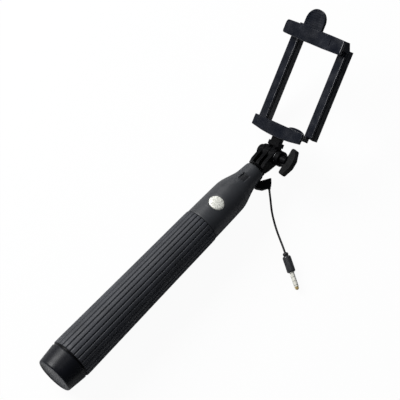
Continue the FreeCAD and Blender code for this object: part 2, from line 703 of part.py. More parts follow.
def build_rail(side, name):
    """A fixed channel, open to the front, with a foot that lies on the lower jaw's floor."""
    body = new_body(f"rail_{name}", clamp_frame())
    outer = size("rail_outer") * side
    inner = size("rail_inner") * side
    wall = size("rail_wall")
    middle = (outer + inner) * 0.5
    slot = size("rail_slot_half")
    back = size("rail_back")
    front = size("rail_front")
    side_wall = wall * side
    slab(
        body, "YZ_Plane", "rail_bottom", "rail_top",
        polygon((back, inner), (back, outer), (front, outer), (front, middle + slot * side),
                (front - wall, middle + slot * side), (front - wall, outer - side_wall),
                (back + wall, outer - side_wall), (back + wall, inner + side_wall),
                (front - wall, inner + side_wall), (front - wall, middle - slot * side),
                (front, middle - slot * side), (front, inner)),
    )
    foot_end = size("foot_inner") * side
    foot_top = size("rail_bottom") + "foot_thickness"
    foot_back = size("jaw_back") + "dome_thickness" + 0.1
    slab(
        body, "YZ_Plane", "rail_bottom", foot_top,
        polygon((foot_back, foot_end), (foot_back, inner + side_wall), ("foot_front", inner + side_wall),
                ("foot_front", foot_end)),
    )
    return middle


def build_leg(side, name, middle):
    """A bar in front of the rail, with a neck and a grooved head that run inside the channel."""
    body = new_body(f"leg_{name}", clamp_frame())
    outer = size("rail_outer") * side
    inner = size("rail_inner") * side
    gap = size("leg_clearance")
    slab(
        body, "YZ_Plane", "leg_bottom", "top_ceiling",
        polygon(("leg_back", inner), ("leg_back", outer), ("leg_front", outer), ("leg_front", inner)),
    )
    neck = (size("rail_slot_half") - gap) * side
    head_half = (size("rail_outer") - "rail_inner") * 0.5 * side - (size("rail_wall") + gap) * side
    head_front = size("rail_front") - "rail_wall" - gap
    head_back = size("rail_back") + "rail_wall" + gap
    groove = size("groove_half_width") * side
    groove_front = head_back + "groove_depth"
    slab(
        body, "YZ_Plane", "leg_bottom", "leg_head_top",
        polygon(("leg_back", middle - neck), ("leg_back", middle + neck), (head_front, middle + neck),
                (head_front, middle + head_half), (head_back, middle + head_half), (head_back, middle + groove),
                (groove_front, middle + groove), (groove_front, middle - groove), (head_back, middle - groove),
                (head_back, middle - head_half), (head_front, middle - head_half), (head_front, middle - neck)),
    )


def build_clamp_spring(side, name, middle):
    """A close-wound spring in the channel, drawn as its outer and inner walls."""
    along = size("rail_back") + "rail_wall" + "spring_seat" + "spring_radius"
    body = new_body(f"clamp_spring_{name}", clamp_frame())
    slab(body, "YZ_Plane", "spring_start", "spring_end", circle("spring_radius", along, middle),
         circle("spring_bore", along, middle))


def build_foot_screws():
    body = new_body("foot_screws", clamp_frame())
    top = size("rail_bottom") + "foot_thickness"
    along = size("foot_front") - 1.25
    place = size("foot_screw_across")
    slab(body, "YZ_Plane", top, top + "foot_screw_height", circle("foot_screw_radius", along, place),
         circle("foot_screw_radius", along, -place))


def build_top_jaw():
    body = new_body("top_jaw", clamp_frame())
    half = size("top_half_width")
    slab(
        body, "XZ_Plane", "top_lip_back", "top_front",
        polygon((size("top_lip_bottom") + 0.8, -half), ("top_lip_bottom", -half + 1.6),
                ("top_lip_bottom", half - 1.6), (size("top_lip_bottom") + 0.8, half),
                (size("top_top") - 1.2, half), ("top_top", half - 1.4), ("top_top", -half + 1.4),
                (size("top_top") - 1.2, -half)),
    )
    blend(body, "top_edge_blend", lambda edge: edge_at(body, edge, "y", DIMENSIONS["top_front"]))
    slab(
        body, "XY_Plane", -half + 0.4, half - 0.4,
        polygon(("top_ceiling", "top_back"), ("top_top", size("top_back") + 4.0), ("top_top", "top_lip_back"),
                ("top_ceiling", "top_lip_back")),
    )
    slab(
        body, "XY_Plane", "nib_start", size("nib_start") + "nib_length",
        polygon((size("top_top") - 1.0, -0.6), (size("top_top") + "nib_height", -0.6),
                (size("top_top") + "nib_height", 2.0), (size("top_top") - 1.0, 2.0)),
    )
    middle = size("tab_offset")
    width = size("tab_half_width")
    tab_arc = size("tab_top") - width
    slab(
        body, "XZ_Plane", "tab_back", "tab_front",
        polygon((size("top_top") - 3.0, middle - width), (tab_arc, middle - width), (tab_arc, middle + width),
                (size("top_top") - 3.0, middle + width)),
    )
    slab(body, "XZ_Plane", "tab_back", "tab_front", circle(width, tab_arc, middle))
    depth = size("tab_rib_depth")
    for index in range(int(DIMENSIONS["tab_rib_count"])):
        start = size("top_top") + 1.4 + size("tab_rib_pitch") * index
        slab(
            body, "XZ_Plane", size("tab_front") - depth, size("tab_front") + 0.5,
            polygon((start, middle - 6.2), (start + 0.7, middle - 6.2), (start + 0.7, middle + 6.2),
                    (start, middle + 6.2)), cut=True,
        )
    pad = new_body("top_pad", clamp_frame())
    reach = size("top_pad_half_width")
    bottom = size("top_ceiling") - "pad_thickness"
    slab(pad, "XY_Plane", -reach, reach, polygon((bottom, -2.7), ("top_ceiling", -2.7), ("top_ceiling", 4.2),
                                                 (bottom, 4.2)))


def build_clamp():
    build_knuckle()
    build_bottom_jaw()
    for side, name in ((-1, "left"), (1, "right")):
        middle = build_rail(side, name)
        build_leg(side, name, middle)
        build_clamp_spring(side, name, middle)
    build_foot_screws()
    build_top_jaw()


# ---------------------------------------------------------------- checks and files

def sub_parts():
    kinds = ("PartDesign::Body", "Part::Feature")
    return [item for item in doc.Objects if item.TypeId in kinds]


def check_document():
    for item in doc.Objects:
        if "Invalid" in item.State or "Error" in item.State:
            raise RuntimeError(f"{item.Label} did not recompute: {item.State}")
    for item in sub_parts():
        if item.Shape.isNull() or not item.Shape.isValid():
            raise RuntimeError(f"{item.Label} has no valid shape")


def write_parts():
    os.makedirs("parts", exist_ok=True)
    for item in sub_parts():
        item.Shape.exportStep(f"parts/{item.Label}.step")


fill_sheet()
build_end_cap()
build_grip()
build_housing()
build_button()
build_tubes()
build_lug()
build_cord()
build_plug()
build_fork()
build_hinge_hardware()
build_clamp()
doc.recompute()
check_document()
write_parts()
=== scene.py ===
"""Extending hand stick with a phone clamp, lying on a white surface."""
import math
import bmesh
import bpy
from mathutils import Matrix, Vector


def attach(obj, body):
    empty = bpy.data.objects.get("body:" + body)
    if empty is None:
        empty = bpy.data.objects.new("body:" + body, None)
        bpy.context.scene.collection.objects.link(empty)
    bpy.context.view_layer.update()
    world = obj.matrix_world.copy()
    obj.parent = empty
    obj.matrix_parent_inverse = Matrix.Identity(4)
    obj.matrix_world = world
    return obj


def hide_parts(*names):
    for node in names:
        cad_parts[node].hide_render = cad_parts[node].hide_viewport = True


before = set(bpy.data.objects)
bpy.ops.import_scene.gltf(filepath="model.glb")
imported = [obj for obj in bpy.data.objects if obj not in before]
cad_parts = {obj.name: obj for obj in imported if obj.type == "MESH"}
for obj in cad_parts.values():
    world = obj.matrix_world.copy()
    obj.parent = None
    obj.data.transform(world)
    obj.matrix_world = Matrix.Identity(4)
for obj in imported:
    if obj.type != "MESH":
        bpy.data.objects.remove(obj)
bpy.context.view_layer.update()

MM = 0.001

# ---------------------------------------------------------------- working frames, in millimetres

ORIGIN = Vector((-167.91, -21.21, 17.07))
PIVOT_ALONG = 240.6
HEAD_ROLL = math.radians(47.8)
TILT = math.radians(33.3)
BUTTON_ROLL = math.radians(14.0)
WING_ANGLE = math.radians(20.0)
PLUG_ANGLE = math.radians(-118.9)
BUTTON_ALONG = 177.2

STICK = Matrix.Translation(ORIGIN)
TRIGGER = STICK @ Matrix.Rotation(-BUTTON_ROLL, 4, "X")
HINGE = STICK @ Matrix.Translation((PIVOT_ALONG, 0, 0)) @ Matrix.Rotation(HEAD_ROLL, 4, "X")
CLAMP = HINGE @ Matrix.Rotation(TILT, 4, "Z")
KNOB = HINGE @ Matrix.Rotation(WING_ANGLE, 4, "Z")

# ---------------------------------------------------------------- camera

scene = bpy.context.scene
CAMERA_CENTRE = Vector((-262.22, -26.46, 1272.56)) + ORIGIN
CAMERA_RIGHT = Vector((0.66361, -0.71972, 0.20471))
CAMERA_UP = Vector((0.67431, 0.69382, 0.25340))
CAMERA_FORWARD = Vector((0.32432, 0.03009, -0.94573))
FOCAL_LENGTH = 160.78
SENSOR_WIDTH = 36.0
camera_data = bpy.data.cameras.new("camera")
camera_data.lens = FOCAL_LENGTH
camera_data.sensor_width = SENSOR_WIDTH
camera_data.clip_end = 20.0
camera = bpy.data.objects.new("camera", camera_data)
turn = Matrix((CAMERA_RIGHT, CAMERA_UP, -CAMERA_FORWARD)).transposed().to_4x4()
camera.matrix_world = Matrix.Translation(CAMERA_CENTRE * MM) @ turn
scene.collection.objects.link(camera)
scene.camera = camera


# ---------------------------------------------------------------- mesh helpers

CORNER_STEPS = 5
DISC_STEPS = 48
SOFTEN_FROM = math.radians(28.0)
MERGE_DISTANCE = 1e-6
FLAT_WITHIN = math.radians(1.0)


def new_object(name, mesh):
    piece = bpy.data.objects.new(name, mesh)
    scene.collection.objects.link(piece)
    return piece


def mesh_piece(name, points, faces, place):
    """A mesh from points in millimetres in a working frame."""
    mesh = bpy.data.meshes.new(name)
    mesh.from_pydata([(place @ Vector(point)) * MM for point in points], [], faces)
    mesh.update()
    tidy = bmesh.new()
    tidy.from_mesh(mesh)
    bmesh.ops.remove_doubles(tidy, verts=tidy.verts, dist=MERGE_DISTANCE)
    bmesh.ops.recalc_face_normals(tidy, faces=tidy.faces)
    tidy.to_mesh(mesh)
    tidy.free()
    return new_object(name, mesh)


def smooth(piece, angle=32.0):
    piece.data.shade_smooth()
    piece.data.set_sharp_from_angle(angle=math.radians(angle))
    return piece


def soften(piece, width, segments=3):
    """Round the piece's sharp edges by a width in millimetres."""
    bevel = piece.modifiers.new("soft_edges", "BEVEL")
    bevel.width = width * MM
    bevel.segments = segments
    bevel.limit_method = "ANGLE"
    bevel.angle_limit = SOFTEN_FROM
    bevel.harden_normals = True
    bevel.use_clamp_overlap = True
    piece.data.shade_smooth()
    return piece


PLANES = {
    "XY": lambda across, upward, height: (across, upward, height),
    "XZ": lambda across, upward, height: (across, height, upward),
    "YZ": lambda across, upward, height: (height, across, upward),
}


def prism(name, plane, outline, low, high, place):
    """The outline carried from one height to another along the plane's axis."""
    spot = PLANES[plane]
    count = len(outline)
    points = [spot(a, b, low) for a, b in outline] + [spot(a, b, high) for a, b in outline]
    faces = [tuple(range(count)), tuple(range(2 * count - 1, count - 1, -1))]
    for index in range(count):
        following = (index + 1) % count
        faces.append((index, following, following + count, index + count))
    return mesh_piece(name, points, faces, place)


def round_corners(outline, radius):
    """Replace each corner of an outline by an arc; radius may be one number or one for each corner."""
    rounded = []
    count = len(outline)
    for index, point in enumerate(outline):
        size = radius[index] if isinstance(radius, (list, tuple)) else radius
        corner = Vector(point)
        back = Vector(outline[index - 1]) - corner
        ahead = Vector(outline[(index + 1) % count]) - corner
        angle = back.angle(ahead)
        if size <= 0 or angle > math.radians(176):
            rounded.append(tuple(corner))
            continue
        trim = min(size / math.tan(angle / 2), 0.49 * back.length, 0.49 * ahead.length)
        start = corner + back.normalized() * trim
        end = corner + ahead.normalized() * trim
        for step in range(CORNER_STEPS + 1):
            share = step / CORNER_STEPS
            a = start.lerp(corner, share)
            b = corner.lerp(end, share)
            rounded.append(tuple(a.lerp(b, share)))
    return rounded


def disc(radius):
    turns = [math.tau * step / DISC_STEPS for step in range(DISC_STEPS)]
    return [(radius * math.cos(a), radius * math.sin(a)) for a in turns]


def arc(radius, start, sweep, steps):
    """Points on a circle round the origin, from a start angle through a sweep, both in degrees."""
    turns = [math.radians(start + sweep * step / steps) for step in range(steps + 1)]
    return [(radius * math.cos(a), radius * math.sin(a)) for a in turns]


def smooth_step(share):
    """Ease a share of 0 to 1 in and out."""
    return 3 * share ** 2 - 2 * share ** 3


def ring_faces(rows, steps):
    """The faces between each ring of points and the next one."""
    faces = []
    for row in range(rows - 1):
        for step in range(steps):
            following = (step + 1) % steps
            faces.append((row * steps + step, row * steps + following,
                          (row + 1) * steps + following, (row + 1) * steps + step))
    return faces


def revolve(name, profile, place, steps=96, shape=None):
    """Turn a profile of (along, radius) round the X axis; shape may change the radius by place and angle.

    A profile that does not come back to its start gets a flat face at each end."""
    points = []
    for along, radius in profile:
        for step in range(steps):
            angle = math.tau * step / steps
            reach = radius if shape is None else shape(along, radius, angle)
            points.append((along, reach * math.sin(angle), reach * math.cos(angle)))
    rows = len(profile)
    faces = ring_faces(rows, steps)
    closed = Vector(profile[0]).to_tuple(4) == Vector(profile[-1]).to_tuple(4)
    if not closed:
        faces.append(tuple(range(steps - 1, -1, -1)))
        faces.append(tuple(range((rows - 1) * steps, rows * steps)))
    return smooth(mesh_piece(name, points, faces, place))


def combine(base, joined, cut):
    """The mesh of a solid with others joined to it and others cut away; the solids are used up."""
    for other, operation in [(part, "UNION") for part in joined] + [(part, "DIFFERENCE") for part in cut]:
        join = base.modifiers.new(operation, "BOOLEAN")
        join.operation = operation
        join.solver = "EXACT"
        join.object = other
    graph = bpy.context.evaluated_depsgraph_get()
    mesh = bpy.data.meshes.new_from_object(base.evaluated_get(graph))
    for part in [base] + list(joined) + list(cut):
        bpy.data.objects.remove(part, do_unlink=True)
    return mesh


def fuse(name, parts, width=None, cut=()):
    """Join solid parts into one mesh, cut others away, and round the result's edges."""
    mesh = combine(parts[0], parts[1:], cut)
    clean = bmesh.new()
    clean.from_mesh(mesh)
    bmesh.ops.remove_doubles(clean, verts=clean.verts, dist=2 * MERGE_DISTANCE)
    bmesh.ops.dissolve_limit(clean, angle_limit=FLAT_WITHIN, verts=clean.verts, edges=clean.edges)
    clean.to_mesh(mesh)
    clean.free()
    mesh.name = name
    piece = new_object(name, mesh)
    if width:
        soften(piece, width)
        even = piece.modifiers.new("even_shading", "WEIGHTED_NORMAL")
        even.mode = "FACE_AREA"
        even.weight = 100
    else:
        smooth(piece)
    return piece


# ---------------------------------------------------------------- materials

NOISE_LOW = 0.3
NOISE_HIGH = 0.7
COAT_ROUGHNESS = 0.12
GRAIN_DISTANCE = 0.0002


def material(name, colour, rough, metal=0.0, grain=(1500.0, 0.15), mottle=(40.0, 0.25), coat=0.0,
             specular=0.5, smudge=(90.0, 0.08)):
    """A moulded, turned or plated finish: cloudy colour, uneven gloss and a fine surface grain.

    grain is (cells per metre, bump strength), mottle (cells per metre, share of brightness),
    smudge (cells per metre, change of roughness)."""
    finish = bpy.data.materials.new(name)
    finish.use_nodes = True
    nodes = finish.node_tree.nodes
    links = finish.node_tree.links
    shader = nodes["Principled BSDF"]
    shader.inputs["Metallic"].default_value = metal
    shader.inputs["Coat Weight"].default_value = coat
    shader.inputs["Coat Roughness"].default_value = COAT_ROUGHNESS
    shader.inputs["Specular IOR Level"].default_value = specular
    where = nodes.new("ShaderNodeTexCoord")

    def noise(scale, detail):
        cloud = nodes.new("ShaderNodeTexNoise")
        cloud.inputs["Scale"].default_value = scale
        cloud.inputs["Detail"].default_value = detail
        links.new(where.outputs["Object"], cloud.inputs["Vector"])
        return cloud.outputs["Fac"]

    ramp = nodes.new("ShaderNodeValToRGB")
    ramp.color_ramp.elements[0].position = NOISE_LOW
    ramp.color_ramp.elements[1].position = NOISE_HIGH
    share = mottle[1]
    ramp.color_ramp.elements[0].color = [value * (1 - share) for value in colour] + [1.0]
    ramp.color_ramp.elements[1].color = [min(1.0, value * (1 + share)) for value in colour] + [1.0]
    links.new(noise(mottle[0], 4.0), ramp.inputs["Fac"])
    links.new(ramp.outputs["Color"], shader.inputs["Base Color"])
    gloss = nodes.new("ShaderNodeMapRange")
    gloss.inputs["From Min"].default_value = NOISE_LOW
    gloss.inputs["From Max"].default_value = NOISE_HIGH
    gloss.inputs["To Min"].default_value = max(0.02, rough - smudge[1])
    gloss.inputs["To Max"].default_value = min(1.0, rough + smudge[1])
    links.new(noise(smudge[0], 3.0), gloss.inputs["Value"])
    links.new(gloss.outputs["Result"], shader.inputs["Roughness"])
    bump = nodes.new("ShaderNodeBump")
    bump.inputs["Strength"].default_value = grain[1]
    bump.inputs["Distance"].default_value = GRAIN_DISTANCE
    links.new(noise(grain[0], 2.0), bump.inputs["Height"])
    links.new(bump.outputs["Normal"], shader.inputs["Normal"])
    return finish


def glitter(name, colour):
    """Pearly plastic with flakes that differ in brightness and lean a little each way."""
    finish = material(name, colour, 0.40, metal=0.25, grain=(900.0, 0.1), mottle=(500.0, 0.12), coat=0.6)
    nodes = finish.node_tree.nodes
    links = finish.node_tree.links
    shader = nodes["Principled BSDF"]
    where = next(node for node in nodes if node.type == "TEX_COORD")
    flakes = nodes.new("ShaderNodeTexVoronoi")
    flakes.inputs["Scale"].default_value = 1500.0
    links.new(where.outputs["Object"], flakes.inputs["Vector"])
    grey = nodes.new("ShaderNodeSeparateColor")
    links.new(flakes.outputs["Color"], grey.inputs["Color"])
    ramp = nodes.new("ShaderNodeValToRGB")
    ramp.color_ramp.elements[0].position = 0.04
    ramp.color_ramp.elements[0].color = (0.36, 0.36, 0.33, 1.0)
    ramp.color_ramp.elements[1].position = 0.30
    ramp.color_ramp.elements[1].color = list(colour) + [1.0]
    bright = ramp.color_ramp.elements.new(0.85)
    bright.color = (0.88, 0.88, 0.80, 1.0)
    links.new(grey.outputs["Red"], ramp.inputs["Fac"])
    links.new(ramp.outputs["Color"], shader.inputs["Base Color"])
    bump = next(node for node in nodes if node.type == "BUMP")
    bump.inputs["Strength"].default_value = 0.35
    links.new(grey.outputs["Green"], bump.inputs["Height"])
    return finish


GRIP = material("grip_rubber", (0.024, 0.026, 0.032), 0.62, grain=(2600.0, 0.22), mottle=(60.0, 0.18))
HOUSING = material("housing_plastic", (0.024, 0.026, 0.030), 0.50, grain=(2200.0, 0.35), mottle=(50.0, 0.15))
CAP = material("cap_plastic", (0.004, 0.0045, 0.007), 0.38, grain=(1800.0, 0.06), mottle=(70.0, 0.2),
               smudge=(140.0, 0.08), specular=0.18)
# painted shade: a darker copy of the housing plastic, put on the recess in the collar
SHADED_RECESS = material("recess_painted_shade", (0.007, 0.008, 0.010), 0.55, grain=(2200.0, 0.3), mottle=(50.0, 0.15))
# a rougher copy of the cap plastic for the flat end face; its lighter tone is painted light
LIT_CAP_FACE = material("cap_face_painted_light", (0.014, 0.017, 0.024), 0.50, grain=(1500.0, 0.2), mottle=(60.0, 0.12))
RUBBER = material("black_rubber", (0.014, 0.014, 0.015), 0.6, grain=(2600.0, 0.4))
GLOSS = material("black_gloss", (0.0016, 0.0016, 0.002), 0.34, grain=(1400.0, 0.08),
                 smudge=(160.0, 0.06), specular=0.07)
CLAMP_PLASTIC = material("clamp_plastic", (0.0040, 0.0052, 0.0095), 0.20, grain=(2400.0, 0.10),
                         mottle=(60.0, 0.25), smudge=(120.0, 0.06), specular=0.36)
PAD = material("pad_rubber", (0.012, 0.012, 0.013), 0.7, grain=(3000.0, 0.6))
CHROME = material("tube_chrome", (0.80, 0.81, 0.83), 0.10, metal=1.0, grain=(900.0, 0.02),
                  mottle=(30.0, 0.05), smudge=(60.0, 0.04))
STEEL = material("zinc_steel", (0.50, 0.51, 0.52), 0.30, metal=1.0, grain=(1800.0, 0.15),
                 mottle=(120.0, 0.15))
PLUG = material("plug_plastic", (0.026, 0.027, 0.030), 0.38, grain=(1600.0, 0.10),
                mottle=(160.0, 0.2), smudge=(200.0, 0.06))
PIN = material("pin_plating", (0.80, 0.79, 0.71), 0.30, metal=0.05, grain=(1200.0, 0.04),
               mottle=(200.0, 0.08))
TIP = material("pin_tip_plating", (0.66, 0.50, 0.22), 0.24, metal=0.5, grain=(1200.0, 0.04),
               mottle=(200.0, 0.1))
RING = material("pin_insulator", (0.13, 0.13, 0.12), 0.4, grain=(2000.0, 0.1))
NYLON = material("nylon", (0.62, 0.61, 0.57), 0.5, grain=(2000.0, 0.15))
BOARD = material("circuit_board", (0.012, 0.075, 0.028), 0.35, grain=(1600.0, 0.2), mottle=(400.0, 0.35))
SILVER = glitter("button_pearl", (0.64, 0.64, 0.58))


def dress(piece, finish, body, slot, *nodes):
    """Give a piece its material and its body, and hide the CAD nodes it stands for; the slot is not used."""
    piece.data.materials.clear()
    piece.data.materials.append(finish)
    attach(piece, body)
    if nodes:
        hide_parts(*nodes)
    return piece


def coat(node, finish):
    """Give a CAD node that stays as it is a finished material."""
    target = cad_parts[node]
    for entry in target.material_slots:
        entry.material = finish


# ---------------------------------------------------------------- lead, first of the pieces

CORD_RADIUS = 0.8
CORD_ROUTE = [
    (220.64, -17.88, -4.32), (219.20, -20.40, -6.44), (216.70, -25.20, -11.00), (213.40, -30.40, -14.90),
    (209.60, -36.40, -16.25), (205.60, -42.90, -16.25), (201.90, -49.40, -15.40), (197.93, -56.40, -13.75),
    (196.00, -59.90, -13.75),
]


def build_lead():
    """The cord from the lug to the plug, as a curve with a round section."""
    line = bpy.data.curves.new("lead", "CURVE")
    line.dimensions = "3D"
    line.bevel_depth = CORD_RADIUS * MM
    line.bevel_resolution = 6
    line.resolution_u = 16
    line.use_fill_caps = True
    run = line.splines.new("NURBS")
    run.points.add(len(CORD_ROUTE) - 1)
    for point, place in zip(run.points, CORD_ROUTE):
        point.co = (*((Vector(place) + ORIGIN) * MM), 1.0)
    run.order_u = 3
    run.use_endpoint_u = True
    lead = new_object("lead", line)
    dress(lead, RUBBER, "handle", "rubber_black", "lead_cord")
    return lead


lead = build_lead()


# ---------------------------------------------------------------- plug

PLUG_START = Vector(CORD_ROUTE[-1])
PLUG_FRAME = STICK @ Matrix.Translation(PLUG_START) @ Matrix.Rotation(PLUG_ANGLE, 4, "Z")
PLUG_BOOT = 3.0
PLUG_BODY = 12.8
PLUG_COLLAR = 0.4
BARREL_RADIUS = 3.3
PIN_LENGTH = 14.0
PIN_RADIUS = 1.75
PIN_CORE = 1.3
FIRST_BAND = 3.6
BAND_PITCH = 3.2
BAND_WIDTH = 0.4
TIP_LENGTH = 2.3


def build_plug():
    """The boot, the barrel, its collar and the banded pin, all along the plug's own X axis."""
    boot = revolve("plug_boot_sleeve", [
        (0.0, CORD_RADIUS), (0.1, 1.3), (0.5, 1.9), (1.2, 2.18), (2.0, 2.18), (2.6, 1.85),
        (PLUG_BOOT, 1.6)], PLUG_FRAME, 40)
    dress(boot, RUBBER, "handle", "rubber_black", "plug_boot")
    start = PLUG_BOOT
    end = start + PLUG_BODY
    shell = revolve("plug_barrel", [
        (start, 1.5), (start, 2.4), (start + 0.15, 2.75), (start + 0.6, 3.12), (start + 1.3, BARREL_RADIUS),
        (start + 2.2, BARREL_RADIUS), (start + 2.32, 3.2), (start + 2.56, 3.2),
        (start + 2.68, BARREL_RADIUS), (end - 0.9, BARREL_RADIUS), (end - 0.4, 3.18),
        (end - 0.08, 2.9), (end, 2.6), (end, 1.7)], PLUG_FRAME, 56)
    dress(shell, PLUG, "handle", "plug_plastic", "plug_shell")
    collar_end = end + PLUG_COLLAR
    neck = revolve("plug_neck", [
        (end - 0.02, 1.8), (end - 0.02, 2.12), (end + 0.06, 2.2), (collar_end - 0.08, 2.2),
        (collar_end, 2.12), (collar_end, 1.6)], PLUG_FRAME, 48)
    dress(neck, PIN, "handle", "pin_metal", "plug_collar")
    profile = [(collar_end, 0.6), (collar_end, PIN_RADIUS - 0.1), (collar_end + 0.12, PIN_RADIUS)]
    bands = []
    for index in range(3):
        groove = collar_end + FIRST_BAND + BAND_PITCH * index
        groove_end = groove + BAND_WIDTH
        profile += [(groove, PIN_RADIUS), (groove, PIN_CORE), (groove_end, PIN_CORE), (groove_end, PIN_RADIUS)]
        band_radius = PIN_RADIUS - 0.03
        band = revolve(f"plug_band_{index + 1}", [
            (groove, PIN_CORE), (groove, band_radius), (groove_end, band_radius), (groove_end, PIN_CORE),
            (groove, PIN_CORE)], PLUG_FRAME, 40)
        dress(band, RING, "handle", "plug_black", f"plug_insulator_{index + 1}")
        bands.append(band)
    tip = collar_end + PIN_LENGTH
    profile += [(tip - 2.6, PIN_RADIUS), (tip - 1.95, 1.34), (tip - 1.75, 1.34), (tip - 1.3, 1.66),
                (tip - 0.6, 1.2), (tip - 0.12, 0.66), (tip, 0.3)]
    pin = revolve("jack_contacts", profile, PLUG_FRAME, 48)
    dress(pin, PIN, "handle", "pin_metal", "plug_pin")
    pin.data.materials.append(TIP)
    to_plug = PLUG_FRAME.inverted()
    for face in pin.data.polygons:
        if (to_plug @ (face.center / MM)).x > tip - TIP_LENGTH:
            face.material_index = 1
    return [boot, shell, neck, pin] + bands


plug_pieces = build_plug()


# ---------------------------------------------------------------- end cap and grip

CAP_LENGTH = 16.4
CAP_BORE = 9.4
SPIGOT_RADIUS = 11.4
SPIGOT_END = 30.0


def build_cap():
    """A slightly tapered cap with a flat end face and a spigot that goes into the tube."""
    length = CAP_LENGTH
    shell = revolve("cap_shell", [
        (0.55, 0.01), (0.55, 11.6), (0.30, 12.1), (0.0, 12.6), (0.0, 14.05), (0.18, 14.5),
        (0.55, 14.85), (1.2, 15.12), (5.0, 15.55), (10.0, 16.10), (length - 1.5, 16.60),
        (length - 0.7, 16.68), (length - 0.2, 16.5), (length, 16.1), (length, SPIGOT_RADIUS),
        (SPIGOT_END, SPIGOT_RADIUS), (SPIGOT_END, CAP_BORE), (3.0, CAP_BORE), (3.0, 0.01)], STICK, 128)
    dress(shell, CAP, "handle", "cap", "end_cap")
    # the flat end face gets the lighter second material as painted light
    shell.data.materials.append(LIT_CAP_FACE)
    for face in shell.data.polygons:
        if (STICK.inverted() @ (face.center / MM)).x < 0.7 and face.normal.x < -0.9:
            face.material_index = 1


RIBS = 26
GRIP_START = 17.9
GRIP_END = 160.2
GRIP_BORE = 12.7
GRIP_BEVEL = 0.45
THICK_RADIUS = 17.04
TAPER = 2.12
SWELL = 0.12
RIB_CROWN = 0.10
CHANNEL_DEPTH = 0.72
CHANNEL_SHARE = 0.36


def grip_radius(along):
    """The grip's outer radius, which tapers towards the housing."""
    share = (along - GRIP_START) / (GRIP_END - GRIP_START)
    swell = SWELL * math.sin(math.pi * min(1.0, share * 1.1))
    return THICK_RADIUS - TAPER * share - swell * share


def build_grip():
    """Broad, slightly crowned ribs with a narrow channel between each two."""
    def ribbed(along, radius, angle):
        if radius < 14.0:
            return radius
        place = (angle * RIBS / math.tau) % 1.0
        off = abs(place - 0.5) * 2
        channel = 1.0 - min(1.0, (1.0 - off) / CHANNEL_SHARE)
        crown = RIB_CROWN * (1 - off * off)
        depth = CHANNEL_DEPTH * smooth_step(channel)
        return radius - depth + crown - 0.08

    steps = RIBS * 18
    rows = 36
    profile = [(GRIP_START, GRIP_BORE), (GRIP_START, 16.2), (GRIP_START + 0.12, 16.7),
               (GRIP_START + GRIP_BEVEL, 16.98)]
    for row in range(1, rows):
        along = GRIP_START + GRIP_BEVEL + (GRIP_END - GRIP_START - 2 * GRIP_BEVEL) * row / rows
        profile.append((along, grip_radius(along)))
    profile += [(GRIP_END - GRIP_BEVEL, 14.86), (GRIP_END - 0.1, 14.6), (GRIP_END, 14.2), (GRIP_END, GRIP_BORE),
                (GRIP_START, GRIP_BORE)]
    grip = revolve("grip_sleeve", profile, STICK, steps, ribbed)
    smooth(grip, 50.0)
    dress(grip, GRIP, "handle", "grip_rubber", "rubber_grip")


build_cap()
build_grip()
coat("cap_seal", GLOSS)
# the tube shows in the gap between grip and housing; there it gets black gloss instead of bright chrome, as
# painted shade for the gap
coat("handle_tube", GLOSS)
coat("rear_bush", NYLON)
coat("front_bush", NYLON)
coat("circuit_board", BOARD)
coat("button_switch", STEEL)


# ---------------------------------------------------------------- upper housing and shutter button

NOTCH_ALONG = 208.6
BUTTON_HALF_LENGTH = 5.25
BUTTON_HALF_WIDTH = 6.35
BUTTON_GAP = 0.1
OPENING_LENGTH = BUTTON_HALF_LENGTH + BUTTON_GAP
OPENING_WIDTH = BUTTON_HALF_WIDTH + BUTTON_GAP
OPENING_STEPS = 96
SEAT_DEPTH = 1.6
RIM_DIP = 0.22
RIM_SPREAD = 0.10
NOTCH_HALF_LENGTH = 3.7
NOTCH_HALF_WIDTH = 3.1
NOTCH_EDGE = 0.16
NOTCH_DEPTH = 0.85
NOTCH_SLOPE = 0.10
COLLAR_BORE = 6.95
HOUSING_BORE = 11.8
RING_SPACING = 0.45
# the cap's top follows the round of the shell by this share
SHELL_RADIUS = 14.2
FOLLOW = 0.55


